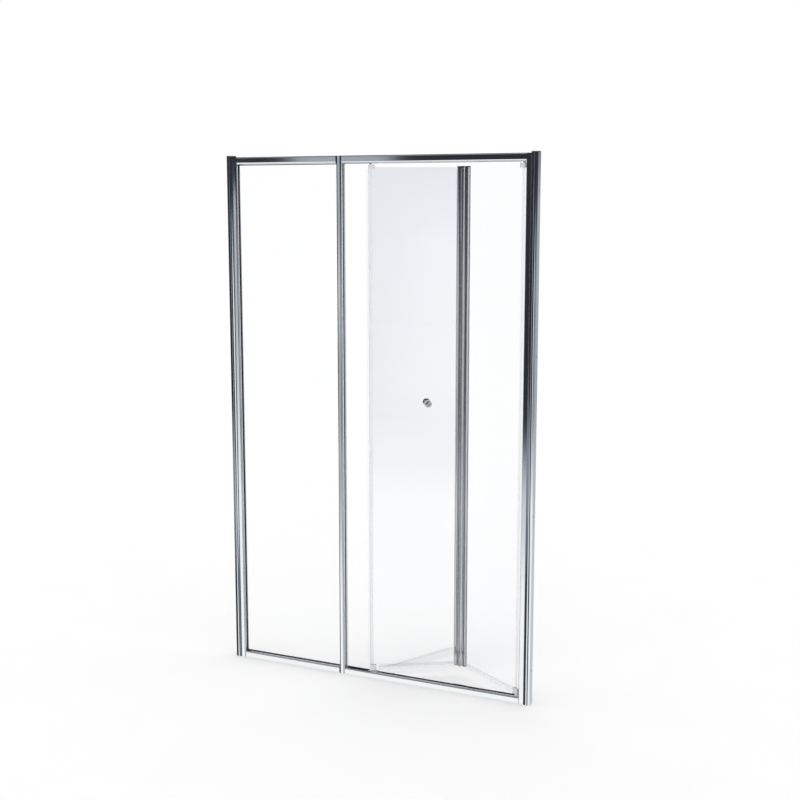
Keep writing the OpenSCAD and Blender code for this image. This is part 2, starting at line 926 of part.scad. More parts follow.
// Magnetic seal on the leading edge
module leading_magnet_seal() {
    sleeve_t = glass_t / 2 + sleeve_wall;
    color("whitesmoke")
        on_leading_leaf()
            along_z(clamp_z0 + clamp_low_h + slot_gap, clamp_z1 - clamp_h - slot_gap)
                difference() {
                    union() {
                        rounded([guide_x - guide_inset, -magnet_half_t],
                            [lead_glass_x - magnet_web, magnet_half_t],
                            [magnet_r, 0, 0, magnet_r]);
                        translate([lead_glass_x - 2 * magnet_web, -sleeve_t])
                            square([2 * magnet_web + magnet_sleeve, 2 * sleeve_t]);
                    }
                    translate([lead_glass_x - seat_fit, -glass_t / 2 - seat_fit])
                        square([magnet_sleeve + cut, glass_t + 2 * seat_fit]);
                }
}

module leading_leaf_hinge_stile() {
    color("silver")
        on_leading_leaf()
            translate([fold_x, 0, 0])
                scale([-1, 1, 1])
                    hinge_stile(1);
}

module leading_leaf_glazing_seal() {
    color("whitesmoke")
        on_leading_leaf()
            translate([fold_x, 0, 0])
                scale([-1, 1, 1])
                    hinge_glazing(seal_lip);
}

module leading_leaf_drip_seal() {
    color("whitesmoke")
        on_leading_leaf()
            drip_seal(guide_x + clamp_len,
                fold_x - hinge_half_gap - hinge_stile_w - seal_lip - seal_root);
}

module leading_stile_caps() {
    color("dimgray")
        on_leading_leaf()
            translate([fold_x, 0, 0])
                scale([-1, 1, 1])
                    stile_caps();
}

module guide_clamp_top() {
    color("whitesmoke")
        on_leading_leaf()
            translate([guide_x, 0, 0])
                corner_clamp(-guide_clamp_in, clamp_len - guide_clamp_in, clamp_z1 - clamp_h,
                    clamp_z1, leaf_z1, true, guide_r + run_fit);
}

module guide_clamp_bottom() {
    color("whitesmoke")
        on_leading_leaf()
            translate([guide_x, 0, 0])
                corner_clamp(-guide_clamp_in, clamp_len - guide_clamp_in, clamp_z0,
                    clamp_z0 + clamp_low_h, leaf_z0, false, guide_r + run_fit);
}

// Screws that tighten the two corner clamps whose middles are at x
module clamp_screws(x) {
    for (z = [clamp_z1 - clamp_h + clamp_screw_in, clamp_z0 + clamp_low_h - clamp_screw_in])
        screw_y(x, clamp_half_t, z, clamp_half_t - glass_t / 2 - seat_fit);
}

module guide_clamp_screws() {
    color("gray")
        on_leading_leaf()
            clamp_screws(guide_x - guide_clamp_in + clamp_len / 2);
}

// Knob whose foot stands on the glass, turned about +Z: foot, waist and flattened ball
module knob_body() {
    ball_z = knob_reach - knob_r + knob_flat;
    difference() {
        union() {
            cylinder(r = knob_foot_r, h = knob_foot_h);
            cylinder(r = knob_waist_r, h = ball_z);
            difference() {
                translate([0, 0, ball_z])
                    sphere(r = knob_r);
                translate([-knob_r - cut, -knob_r - cut, knob_reach])
                    cube([2 * (knob_r + cut), 2 * (knob_r + cut), knob_r]);
            }
        }
        translate([0, 0, -cut])
            cylinder(r = spindle_r + seat_fit, h = knob_bore_h + cut);
    }
}

// Stands a piece on a face of the leading leaf's glass, s = -1 in the room, 1 in the shower
module on_glass_face(s, t) {
    on_leading_leaf()
        translate([knob_x, s * (glass_t / 2 + t), knob_z])
            rotate([-90 * s, 0, 0])
                children();
}

module knob_outer() {
    color("silver")
        on_glass_face(-1, knob_washer_t)
            knob_body();
}

module knob_inner() {
    color("silver")
        on_glass_face(1, knob_washer_t)
            knob_body();
}

// Threaded bar that joins the two knobs through the glass
module knob_spindle() {
    color("gray")
        on_leading_leaf()
            translate([knob_x, -glass_t / 2 - spindle_out, knob_z])
                rotate([-90, 0, 0])
                    cylinder(r = spindle_r, h = glass_t + 2 * spindle_out);
}

// Washers and sleeves that keep the knobs off the glass
module knob_washers() {
    color("whitesmoke")
        for (s = [-1, 1])
            on_glass_face(s, 0)
                difference() {
                    union() {
                        cylinder(r = knob_foot_r, h = knob_washer_t);
                        translate([0, 0, -glass_t / 2 + screw_fit])
                            cylinder(r = knob_hole_r - run_fit, h = glass_t / 2);
                    }
                    translate([0, 0, -glass_t])
                        cylinder(r = spindle_r + screw_fit, h = 2 * glass_t);
                }
}

// Guide blocks that slide in the tracks

module guide_block(z0) {
    half = slot_w / 2 - slot_gap;
    color("whitesmoke")
        on_guide()
            difference() {
                along_z(z0, z0 + block_h)
                    translate([guide_x, 0])
                        rounded([-guide_len / 2, -half], [guide_len / 2, half],
                            [block_r, block_r, block_r, block_r]);
                bar_z([guide_x, 0], guide_r + seat_fit, z0 - cut, z0 + block_h + cut);
            }
}

// Pins fixed in the guide blocks, on which the clamps of the leading leaf turn
module guide_pins() {
    color("gray")
        on_guide() {
            bar_z([guide_x, 0], guide_r, leaf_z1 + pin_cover + pin_end_gap,
                head_z + block_gap + block_h + pin_out);
            bar_z([guide_x, 0], guide_r, sill_h - sill_slot + pin_end_gap,
                leaf_z0 - pin_cover - pin_end_gap);
        }
}

module guide_block_top() {
    guide_block(head_z + block_gap);
}

module guide_block_bottom() {
    guide_block(sill_h - sill_slot + block_lift);
}

wall_channel_left();
wall_channel_right();
channel_caps();
panel_wall_stile();
panel_head_rail();
panel_sill_rail();
mid_post();
panel_glass();
panel_glazing_seals();
panel_setting_blocks();
strike_magnet_seal();
mid_post_studs();
door_head_rail();
door_sill_rail();
pivot_jamb();
corner_screws();
channel_screws();
pivot_bush_top();
pivot_bush_bottom();
pivot_leaf_glass();
pivot_edge_seal();
pivot_leaf_hinge_stile();
pivot_leaf_glazing_seal();
pivot_leaf_drip_seal();
fold_gap_seal();
pivot_stile_caps();
pivot_clamp_top();
pivot_clamp_bottom();
pivot_clamp_screws();
pivot_pins();
pivot_thrust_washer();
hinge_pin();
hinge_washers();
leading_leaf_glass();
leading_magnet_seal();
leading_leaf_hinge_stile();
leading_leaf_glazing_seal();
leading_leaf_drip_seal();
leading_stile_caps();
guide_clamp_top();
guide_clamp_bottom();
guide_pins();
guide_clamp_screws();
knob_outer();
knob_inner();
knob_spindle();
knob_washers();
guide_block_top();
guide_block_bottom();
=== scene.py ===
"""Looks of a framed bi-fold shower door with a fixed in-line panel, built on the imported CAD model.

Metres, in the CAD's frame: +X to the right, +Y into the shower, +Z up, Z = 0 under the sill.
Outlines, rings and places on a leaf are in millimetres and become metres as their points are made.
"""
import json
import math
import bmesh
import bpy
from mathutils import Matrix, Vector


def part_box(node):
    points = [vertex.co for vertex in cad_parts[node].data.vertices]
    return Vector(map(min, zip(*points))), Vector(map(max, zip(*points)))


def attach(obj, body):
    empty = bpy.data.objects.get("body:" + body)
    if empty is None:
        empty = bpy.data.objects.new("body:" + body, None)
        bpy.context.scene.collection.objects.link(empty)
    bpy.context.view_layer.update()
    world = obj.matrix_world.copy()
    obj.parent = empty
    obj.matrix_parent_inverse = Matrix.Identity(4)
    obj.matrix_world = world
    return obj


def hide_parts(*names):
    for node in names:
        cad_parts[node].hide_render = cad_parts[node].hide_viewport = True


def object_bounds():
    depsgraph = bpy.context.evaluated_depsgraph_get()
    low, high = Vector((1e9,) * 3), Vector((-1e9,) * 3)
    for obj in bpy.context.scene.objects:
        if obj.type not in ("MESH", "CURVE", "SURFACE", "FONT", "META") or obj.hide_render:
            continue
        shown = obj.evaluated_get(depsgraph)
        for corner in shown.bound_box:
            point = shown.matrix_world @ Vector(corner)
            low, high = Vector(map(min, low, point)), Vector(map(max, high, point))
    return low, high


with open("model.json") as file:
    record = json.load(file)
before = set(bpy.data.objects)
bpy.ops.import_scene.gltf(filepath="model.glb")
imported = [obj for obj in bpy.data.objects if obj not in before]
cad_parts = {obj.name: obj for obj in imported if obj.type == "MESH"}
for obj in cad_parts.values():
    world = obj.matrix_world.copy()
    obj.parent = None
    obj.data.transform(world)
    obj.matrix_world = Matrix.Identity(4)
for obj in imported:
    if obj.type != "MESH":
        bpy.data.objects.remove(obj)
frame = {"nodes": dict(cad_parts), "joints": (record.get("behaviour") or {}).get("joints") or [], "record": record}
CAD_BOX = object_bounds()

nodes = frame["nodes"]

# Camera, fitted to the frame's outer lines in the photograph
CAMERA_PLACE = (1.9043, -3.9402, 1.6976)
CAMERA_PITCH = math.radians(-8.926)
CAMERA_YAW = math.radians(24.715)
LENS_MM = 57.456
SENSOR_MM = 36.0
FAR_CLIP = 200

# What polished metal mirrors: soft cards and flags round the object, each laid over those before it.
# A card has its azimuth from straight in front (-Y), positive to the right, half its width and how
# soft its sides are, the same three for the elevation, all in degrees, and its level
MIRRORED = (
    ("ceiling", 0, 180, 1, 78, 16, 10, 0.06),
    ("upper_front", 0, 75, 4, 36, 14, 6, 0.55),
    ("floor", 0, 180, 1, -55, 38, 5, 1.0),
    ("floor_below", 0, 180, 1, -70, 24, 12, 0.5),
    ("back_wall", 171, 50, 8, -6, 8, 4, 0.42),
    ("back_floor", 180, 62, 8, -30, 18, 6, 0.60),
    ("haze_left", -60, 32, 14, -12.5, 2.5, 2.5, 0.27),
    ("haze_middle", -14, 9, 4, -13.5, 1.2, 3, 0.45),
    ("strip_left", -31.7, 2.4, 0.8, -9, 9.4, 1, 0.50),
    ("strip_left_low", -31.7, 2.4, 0.8, -24, 15, 8, 1.0),
    ("panel_middle", -27.3, 2.2, 0.8, -4.5, 7.5, 1.5, 0.42),
    ("strip_middle", -28, 1.3, 0.8, -4.2, 1.6, 2.5, 0.6),
    ("panel_low", -22, 8, 3, -26, 12, 8, 1.0),
    ("strip_right", 23, 8, 4, -9, 7, 4, 0.95),
    ("strip_right_side", 44, 5, 4, -5, 5, 4, 0.70),
    ("side_panel", 85, 27, 12, -5, 8, 6, 0.22),
    ("haze_side", 85, 30, 12, -14, 1.5, 4, 0.45),
    ("flag_left_low", -68, 31, 4, -20, 4.4, 2, 0.04),
    ("haze_right_low", 37, 8, 4, -18.3, 6.7, 4, 0.95),
    ("flag_right_low", 8, 16, 8, -20, 4.4, 2, 0.05),
    ("flag_side_low", 84, 24, 12, -20, 5, 3, 0.05),
)
ROOM_LEVEL = 0.028
# Share of red and of blue in a mirrored level: at level 0, and how much a full level adds to it
COOL_RED = (0.86, 0.11)
COOL_BLUE = (1.26, -0.26)

# Strength of the world where it lights matt things, and the floor's extent, depth, tones and glow
LIGHTING = 0.8
FLOOR_REACH = 12.0
FLOOR_DROP = 0.0005
FLOOR_TONES = (0.86, 0.90)
FLOOR_GLOW = 0.30

MM = 0.001
STEPS_ROUND = 64
# Degrees: two faces closer than this are one, an edge over this is rounded, and the angles under
# which faces shade smoothly into each other, on new shapes and on softened ones
FLAT_WITHIN = 0.2
SHARP_OVER = 35
SMOOTH_BELOW = 32
SMOOTH_BELOW_SOFTENED = 18
SAME_POINT = 1e-6

# The rest is in mm. Half the glass with the air that a seal's grip leaves to it
GRIP = 2.56
# Distance of the fold's axis from the middle of the glass
FOLD_OFFSET = 13.0
# Fixed panel: top of the sill, underside of the head, and the stile's and mid post's edges
SILL_H = 24.0
HEAD_LOW = 1818.0
PANEL_LEFT, PANEL_RIGHT = -540.0, -146.0
# Air above and below the panel's upright seals, and how far its other seals stay off their lips
SEAL_END_GAP = 0.02
SEAL_LIP_GAP = 0.45
# Front of a wall channel: where its bead's middle lies, half the bead, the face beside it, and how
# far that face falls back per mm
CHANNEL_MIDDLE = 569
BEAD_HALF = 7.5
MARGIN_FACE = -13.2
MARGIN_FALL = 0.28
# Coves at the fold: the stile's face they stand on, their root and end along it, the round that
# keeps clear of the knuckles, the hollow's centre and radius, and how far they stop short
COVE_FACE, COVE_ROOT, COVE_END = -5.95, 1.6, 13.0
ROUND_KNUCKLES = 6.35
COVE_CENTRE, COVE_RADIUS = (COVE_END, -12.67), 6.66
COVE_SHORT = 2.2
# Knobs: place along the leading leaf, height, foot's distance from the middle of the glass, and the
# ball's radius and centre from the foot
KNOB_ALONG, KNOB_Z, KNOB_FOOT = -119, 995, 3.5
KNOB_BALL, KNOB_BALL_AT = 13, 18.5
# Screws: shank lengths, places and the face their heads bear on
CLAMP_SHANK, CLAMP_SCREW_Z, CLAMP_FACE = 3.9, (43.5, 1803.5), 6.5
PIVOT_SCREW_ALONG, GUIDE_SCREW_ALONG = -6, -312.5
CHANNEL_SHANK, CHANNEL_SCREW_Z, CHANNEL_FACE = 5.2, (185, 923.5, 1662), 14
CHANNEL_SCREW_X = (-561.5, 561.5)
CROSS_BAR = 0.28


def make_camera():
    camera = bpy.data.objects.new("camera", bpy.data.cameras.new("camera"))
    bpy.context.scene.collection.objects.link(camera)
    camera.location = CAMERA_PLACE
    camera.rotation_euler = (math.pi / 2 + CAMERA_PITCH, 0, CAMERA_YAW)
    camera.data.lens = LENS_MM
    camera.data.sensor_width = SENSOR_MM
    camera.data.sensor_fit = "HORIZONTAL"
    camera.data.clip_end = FAR_CLIP
    bpy.context.scene.camera = camera


class Tree:
    """A material's or world's node tree, with short calls to add and join nodes."""

    def __init__(self, owner):
        owner.use_nodes = True
        self.tree = owner.node_tree
        self.tree.nodes.clear()

    def put(self, node, key, value):
        """Joins a node's input to a socket, or sets it to a constant."""
        if isinstance(value, bpy.types.NodeSocket):
            self.tree.links.new(value, node.inputs[key])
        else:
            node.inputs[key].default_value = value

    def add(self, kind, inputs=None, **settings):
        node = self.tree.nodes.new(kind)
        for name, value in settings.items():
            setattr(node, name, value)
        for key, value in (inputs or {}).items():
            self.put(node, key, value)
        return node

    def math(self, operation, a, b=0.0):
        return self.add("ShaderNodeMath", {0: a, 1: b}, operation=operation).outputs[0]

    def noise(self, vector, scale, detail=2.0, stretch=(1, 1, 1)):
        mapping = self.add("ShaderNodeMapping", {"Vector": vector, "Scale": stretch})
        return self.add("ShaderNodeTexNoise", {
            "Vector": mapping.outputs[0], "Scale": scale, "Detail": detail}).outputs[0]

    def ramp(self, value, low, high):
        """A value from 0 to 1 laid out from low to high."""
        return self.add("ShaderNodeMapRange", {"Value": value, "To Min": low, "To Max": high}).outputs[0]

    def ramp_from(self, value, low, high):
        """How far a value lies on the way from low to high, 0 to 1."""
        return self.add("ShaderNodeMapRange", {"Value": value, "From Min": low, "From Max": high}).outputs[0]

    def mix(self, factor, a, b):
        return self.add("ShaderNodeMix", {0: factor, 2: a, 3: b}, data_type="FLOAT").outputs[0]

    def mix_colour(self, factor, a, b):
        return self.add("ShaderNodeMix", {0: factor, 6: a, 7: b}, data_type="RGBA").outputs[2]

    def cool(self, level):
        """A level as a colour that turns bluer the darker it is."""
        red, blue = (
            self.math("MULTIPLY", level, self.math("ADD", self.math("MULTIPLY", level, slope), start))
            for start, slope in (COOL_RED, COOL_BLUE))
        return self.add("ShaderNodeCombineColor", {"Red": red, "Green": level, "Blue": blue}).outputs[0]

    def band(self, value, centre, half, soft, turn=False):
        """1 where value is within half of centre, with sides that fade over soft; turn wraps at 360."""
        away = self.math("SUBTRACT", value, centre)
        if turn:
            away = self.add("ShaderNodeMath", {0: away, 1: 180.0, 2: -180.0}, operation="WRAP").outputs[0]
        away = self.math("ABSOLUTE", away)
        return self.ramp_from(away, half + soft / 2, half - soft / 2)


def grey(level):
    return (level, level, level, 1.0)


def object_point(tree):
    return tree.add("ShaderNodeTexCoord").outputs["Object"]


def new_material(name, build):
    """A material whose surface is the shader that build makes in its tree."""
    material = bpy.data.materials.new(name)
    tree = Tree(material)
    tree.add("ShaderNodeOutputMaterial", {"Surface": build(tree).outputs[0]})
    return material


def metal(name, colour_low, colour_high, rough_low, rough_high, grain, grain_scale, bump):
    """Polished or satin metal with drawn grain; grain is how much each axis squeezes it."""
    def build(tree):
        point = object_point(tree)
        lines = tree.noise(point, grain_scale, 2, grain)
        both = tree.math("MULTIPLY", tree.math("ADD", tree.noise(point, 9, 3), lines), 0.5)
        normal = tree.add("ShaderNodeBump", {"Height": lines, "Strength": bump, "Distance": 0.0002})
        return tree.add("ShaderNodeBsdfPrincipled", {
            "Base Color": tree.mix_colour(both, colour_low, colour_high), "Metallic": 1.0,
            "Roughness": tree.ramp(both, rough_low, rough_high), "Normal": normal.outputs[0]})
    return new_material(name, build)


def plastic(name, colour_low, colour_high, rough, transmission=0.0, ior=1.45):
    """Moulded or extruded plastic with a faintly uneven tone and a fine skin."""
    def build(tree):
        point = object_point(tree)
        skin = tree.noise(point, 900, 2)
        normal = tree.add("ShaderNodeBump", {"Height": skin, "Strength": 0.15, "Distance": 0.0002})
        return tree.add("ShaderNodeBsdfPrincipled", {
            "Base Color": tree.mix_colour(tree.noise(point, 40, 3), colour_low, colour_high),
            "Roughness": rough, "IOR": ior, "Transmission Weight": transmission,
            "Normal": normal.outputs[0]})
    return new_material(name, build)


def glass(name, tint_low, tint_high, ior, painted_shade_share=0.0):
    """Clear glass whose body is faintly uneven in tint, with a slow wave from toughening.

    The last argument is how much of the tint's unevenness runs evenly from the head to the foot: painted shade,
    darker at the head and lighter at the foot, standing in for the darker reflections on the upper glass.
    """
    def build(tree):
        point = object_point(tree)
        height = tree.add("ShaderNodeSeparateXYZ", {0: point}).outputs[2]
        # Random tint mixed with a painted shade that darkens the glass towards its head
        tint_and_painted_shade = tree.mix(painted_shade_share, tree.noise(point, 2.5, 2), tree.ramp_from(height, 1.8, 0.2))
        wave = tree.noise(point, 3, 1, (1, 1, 2))
        normal = tree.add("ShaderNodeBump", {"Height": wave, "Strength": 0.02, "Distance": 0.002})
        return tree.add("ShaderNodeBsdfPrincipled", {
            "Base Color": tree.mix_colour(tint_and_painted_shade, tint_low, tint_high), "Roughness": 0.0, "IOR": ior,
            "Transmission Weight": 1.0, "Normal": normal.outputs[0]})
    return new_material(name, build)


# Grain drawn along Z or X, with its scale and depth
GRAIN_UP = ((1, 1, 0.02), 600, 0.03)
GRAIN_ALONG = ((0.02, 1, 1), 600, 0.03)
POLISH = (0.03, 0.09)
MATERIALS = {
    "polished_aluminium": metal("polished_aluminium", grey(0.87), grey(0.93), *POLISH, *GRAIN_UP),
    "rail": metal("polished_rail", grey(0.87), grey(0.93), *POLISH, *GRAIN_ALONG),
    # Hinge stiles and coves: the frame's aluminium painted darker, as painted shade for the fold post's darker
    # reflections
    "hinge": metal("hinge_aluminium_painted_darker", grey(0.64), grey(0.70), *POLISH, *GRAIN_UP),
    "chrome": metal("chrome", grey(0.56), grey(0.64), 0.10, 0.14, (1, 1, 1), 30, 0.01),
    "stainless": metal("stainless", grey(0.45), grey(0.60), 0.25, 0.4, (1, 1, 0.1), 900, 0.1),
    "panel_glass": glass("panel_glass", (0.99, 0.995, 0.995, 1), grey(1.0), 1.12),
    "pivot_glass": glass("pivot_glass", (0.98, 0.985, 0.995, 1), (0.99, 0.995, 1.0, 1), 1.12),
    # Leading leaf's glass: mostly a painted shade from a darker head to a lighter foot, the rest random tint
    "leading_glass": glass("leading_glass", (0.88, 0.90, 0.945, 1), grey(1.0), 2.1, 0.85),
    "clear_seal": plastic("clear_seal", (0.95, 0.96, 0.97, 1), (0.99, 0.99, 1.0, 1), 0.05, 0.92, 1.06),
    "milky_seal": plastic("milky_seal", grey(0.94), grey(0.99), 0.3, 0.25, 1.1),
    "white_nylon": plastic("white_nylon", grey(0.78), grey(0.86), 0.45),
    "grey_plastic": plastic("grey_plastic", grey(0.08), grey(0.12), 0.5),
    "grey_seal": plastic("grey_seal", grey(0.03), grey(0.05), 0.5),
}

# Nodes that look otherwise than their slot; every rail has the grain that runs along X, and the hinge stiles take
# a darker copy of the aluminium, painted shade for the fold post's darker reflections
SPECIAL = {
    "panel_glass": "panel_glass", "pivot_leaf_glass": "pivot_glass", "leading_leaf_glass": "leading_glass",
    "pivot_leaf_glazing_seal": "milky_seal", "leading_leaf_glazing_seal": "milky_seal",
    "pivot_leaf_hinge_stile": "hinge", "leading_leaf_hinge_stile": "hinge",
}
SLOTS = {part["node"]: part["material_slot"] for part in frame["record"]["subparts"]}

# Places of the leaves at rest. On the pivot leaf x runs from the pivot axis, on the leading leaf
# from the fold axis, both along the glass and negative towards the leading edge, with y = 0 in the
# middle of the glass
PIVOT = Vector(frame["joints"][0]["pos_m"]).xy
FOLD = Vector(frame["joints"][1]["pos_m"]).xy
REST_FOLD = -math.radians(frame["joints"][0]["range_deg"][0])
LEAF_LENGTH = math.sqrt((FOLD - PIVOT).length_squared - (FOLD_OFFSET * MM) ** 2)
ON_FRAME = Matrix.Identity(4)
ON_PIVOT_LEAF = Matrix.Translation(PIVOT.to_3d()) @ Matrix.Rotation(-REST_FOLD, 4, "Z")
ON_PIVOT_LEAF_AT_FOLD = ON_PIVOT_LEAF @ Matrix.Translation((-LEAF_LENGTH, 0, 0))
ON_LEADING_LEAF = (Matrix.Translation(FOLD.to_3d()) @ Matrix.Rotation(REST_FOLD, 4, "Z")
                   @ Matrix.Translation((0, FOLD_OFFSET * MM, 0)))


def paint_nodes():
    for name, node in nodes.items():
        key = "rail" if "rail" in name else SPECIAL.get(name, SLOTS[name])
        node.data.materials.clear()
        node.data.materials.append(MATERIALS[key])


def finish_piece(name, shape, body, replaced, material, smooth_below=SMOOTH_BELOW):
    """Turns a shape into a piece that rides a body and stands for a node, or for none."""
    mesh = bpy.data.meshes.new(name)
    shape.to_mesh(mesh)
    shape.free()
    mesh.shade_smooth()
    mesh.set_sharp_from_angle(angle=math.radians(smooth_below))
    mesh.materials.append(MATERIALS[material])
    piece = bpy.data.objects.new(name, mesh)
    bpy.context.scene.collection.objects.link(piece)
    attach(piece, body)
    if replaced:
        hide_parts(replaced)


def softened(name, node, body, width, material, bend=None):
    """A node's own shape with its sharp edges rounded over by width, in mm, standing for the node."""
    shape = bmesh.new()
    shape.from_mesh(nodes[node].data)
    bmesh.ops.remove_doubles(shape, verts=shape.verts, dist=SAME_POINT)
    if bend:
        for vertex in shape.verts:
            vertex.co = bend(vertex.co)
    bmesh.ops.dissolve_limit(shape, angle_limit=math.radians(FLAT_WITHIN), verts=shape.verts,
                             edges=shape.edges)
    sharp = [e for e in shape.edges
             if len(e.link_faces) == 2 and e.calc_face_angle(0) > math.radians(SHARP_OVER)]
    bmesh.ops.bevel(shape, geom=sharp, offset=width * MM, segments=2, profile=0.5, affect="EDGES",
                    clamp_overlap=True)
    finish_piece(name, shape, body, node, material, SMOOTH_BELOW_SOFTENED)


def rounded(points, steps=5):
    """Outline from (x, y, radius) corners, each corner rounded with its radius."""
    outline = []
    for index, (x, y, radius) in enumerate(points):
        here = Vector((x, y))
        if radius <= 0:
            outline.append(here)
            continue
        before = (Vector(points[index - 1][:2]) - here).normalized()
        after = (Vector(points[(index + 1) % len(points)][:2]) - here).normalized()
        half = before.angle(after) / 2
        reach = radius / math.tan(half)
        centre = here + (before + after).normalized() * (radius / math.sin(half))
        start, end = here + before * reach - centre, here + after * reach - centre
        outline.extend(centre + start.slerp(end, step / steps) for step in range(steps + 1))
    return outline


def arc(centre, radius, start, end, steps):
    turns = (math.radians(start + (end - start) * i / steps) for i in range(steps + 1))
    return [Vector((centre[0] + radius * math.cos(t), centre[1] + radius * math.sin(t))) for t in turns]


def add_extrusion(shape, outline, low, high, place, along="Z"):
    """Adds the solid inside an outline, in mm, from low to high along Z or X."""
    rows = []
    for end in (low, high):
        points = [(x, y, end) if along == "Z" else (end, x, y) for x, y in outline]
        rows.append([shape.verts.new(place @ (Vector(point) * MM)) for point in points])
    pairs = [(i, (i + 1) % len(outline)) for i in range(len(outline))]
    for i, j in pairs:
        shape.faces.new((rows[0][i], rows[0][j], rows[1][j], rows[1][i]))
    for row in rows:
        cap = [shape.edges.get((row[i], row[j])) for i, j in pairs]
        bmesh.ops.triangle_fill(shape, use_beauty=True, use_dissolve=False, edges=cap)


def piece_from(name, shape, body, replaced, material):
    bmesh.ops.recalc_face_normals(shape, faces=shape.faces)
    finish_piece(name, shape, body, replaced, material)


def reach_of(kind, radius, angle):
    """Distance from the axis to the outline at an angle: round, or a six-sided or cross recess."""
    if kind == "six":
        side = math.fmod(angle, math.pi / 3) - math.pi / 6
        return radius * math.cos(math.pi / 6) / math.cos(side)
    if kind == "cross":
        bar = CROSS_BAR * radius
        c, s = abs(math.cos(angle)) + 1e-9, abs(math.sin(angle)) + 1e-9
        return max(min(radius / c, bar / s), min(radius / s, bar / c))
    return radius


def add_turned(shape, rings, place):
    """Adds a closed turned solid through rings of (kind, radius, height) in mm, up local +Z."""
    rows = []
    for kind, radius, height in rings:
        if radius == 0:
            rows.append([shape.verts.new(place @ Vector((0, 0, height * MM)))])
            continue
        row = []
        for i in range(STEPS_ROUND):
            angle = 2 * math.pi * i / STEPS_ROUND
            reach = reach_of(kind, radius, angle) * MM
            point = Vector((reach * math.cos(angle), reach * math.sin(angle), height * MM))
            row.append(shape.verts.new(place @ point))
        rows.append(row)
    for low, high in zip(rows, rows[1:]):
        for i in range(STEPS_ROUND):
            j = (i + 1) % STEPS_ROUND
            corners = [low[i % len(low)], low[j % len(low)], high[j % len(high)], high[i % len(high)]]
            shape.faces.new(list(dict.fromkeys(corners)))


def screw_rings(kind, shank):
    """Rings of a pan head screw from its tip to its recess, the head bearing at height 0."""
    return [("round", 0, -shank), ("round", 1.5, -shank), ("round", 2.0, -shank + 0.6), ("round", 2.0, 0),
            ("round", 3.5, 0), ("round", 3.6, 0.15), ("round", 3.6, 1.2), ("round", 3.35, 1.9),
            ("round", 2.8, 2.25), ("round", 2.3, 2.38), (kind, 1.9, 2.4), (kind, 1.75, 1.2),
            ("round", 0, 0.9)]


def make_screws(name, node, body, kind, shank, places):
    shape = bmesh.new()
    for place in places:
        add_turned(shape, screw_rings(kind, shank), place)
    piece_from(name, shape, body, node, "stainless")


def facing(place, x, y, z, side=1):
    """Place of something that stands on a face at (x, y, z) in mm and points to side along local Y."""
    return place @ Matrix.Translation(Vector((x, y, z)) * MM) @ Matrix.Rotation(-side * math.pi / 2, 4, "X")


# Foot, neck, ball and slightly hollow end of a knob, from the glass outwards
KNOB_PROFILE = (
    [(0, 0.02), (9.4, 0.02), (9.85, 0.2), (10, 0.6), (10, 2.2), (9.85, 2.7), (9.4, 2.95), (8.6, 3.0),
     (7.6, 3.1), (6.7, 3.5), (6.2, 4.2), (6.0, 5.2), (6.0, 6.2), (6.15, 6.9)]
    + [(KNOB_BALL * math.cos(math.radians(t)), KNOB_BALL_AT + KNOB_BALL * math.sin(math.radians(t)))
       for t in range(-59, 60, 4)]
    + [(6.4, 29.72), (5.9, 29.93), (5.2, 30.0), (4.4, 29.95), (2.4, 29.8), (0, 29.75)])


def make_knobs():
    rings = [("round", radius, height) for radius, height in KNOB_PROFILE]
    for name, node, side in (("knob_turned_outer", "knob_outer", -1), ("knob_turned_inner", "knob_inner", 1)):
        shape = bmesh.new()
        add_turned(shape, rings, facing(ON_LEADING_LEAF, KNOB_ALONG, side * KNOB_FOOT, KNOB_Z, side))
        piece_from(name, shape, "leading_leaf", node, "chrome")


def heights(node):
    low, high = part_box(node)
    return low[2] / MM, high[2] / MM


def make_edge_seals():
    """Bulb seal on the pivot edge and magnetic strip on the leading edge, gripping the glass."""
    lips = ((-6.6, 4.1), (-9.6, 3.3), (-10, 3.0), (-10, GRIP), (-2.04, GRIP),
            (-2.04, -GRIP), (-10, -GRIP), (-10, -3.0), (-9.6, -3.3), (-6.6, -4.1))
    bulb = [Vector(corner) for corner in lips] + arc((0, 0), 6.95, -140, 140, 40)
    strip = rounded([
        (-329.5, -5, 1.5), (-323, -5, 0.4), (-323, -4.1, 0.3), (-313.5, -4.1, 1), (-311.5, -3.1, 0.2),
        (-311.5, -GRIP, 0), (-321.45, -GRIP, 0), (-321.45, GRIP, 0), (-311.5, GRIP, 0),
        (-311.5, 3.1, 0.2), (-313.5, 4.1, 1), (-323, 4.1, 0.3), (-323, 5, 0.4), (-329.5, 5, 1.5)])
    for name, node, body, place, outline in (
            ("pivot_bulb_seal", "pivot_edge_seal", "pivot_leaf", ON_PIVOT_LEAF, bulb),
            ("leading_strip_seal", "leading_magnet_seal", "leading_leaf", ON_LEADING_LEAF, strip)):
        shape = bmesh.new()
        add_extrusion(shape, outline, *heights(node), place)
        piece_from(name, shape, body, node, "clear_seal")


def make_drip_seals():
    """Clips on the leaves' lower edges, each with a fin that ends in a small bulb."""
    side = [(GRIP, 37.95, 0), (GRIP, 46, 0), (3.0, 46, 0.15), (3.7, 44.2, 0.6), (3.7, 36, 1.0),
            (0.9, 35.6, 0.5), (0.45, 29.4, 0.4), (0.8, 28.6, 0.3), (0.8, 27.0, 0.5)]
    outline = rounded(side + [(-y, z, r) for y, z, r in reversed(side)])
    for name, node, body, place, near, far in (
            ("pivot_drip_clip", "pivot_leaf_drip_seal", "pivot_leaf", ON_PIVOT_LEAF, -292, -22),
            ("leading_drip_clip", "leading_leaf_drip_seal", "leading_leaf", ON_LEADING_LEAF, -293.5, -20)):
        shape = bmesh.new()
        add_extrusion(shape, outline, near, far, place, "X")
        piece_from(name, shape, body, node, "clear_seal")


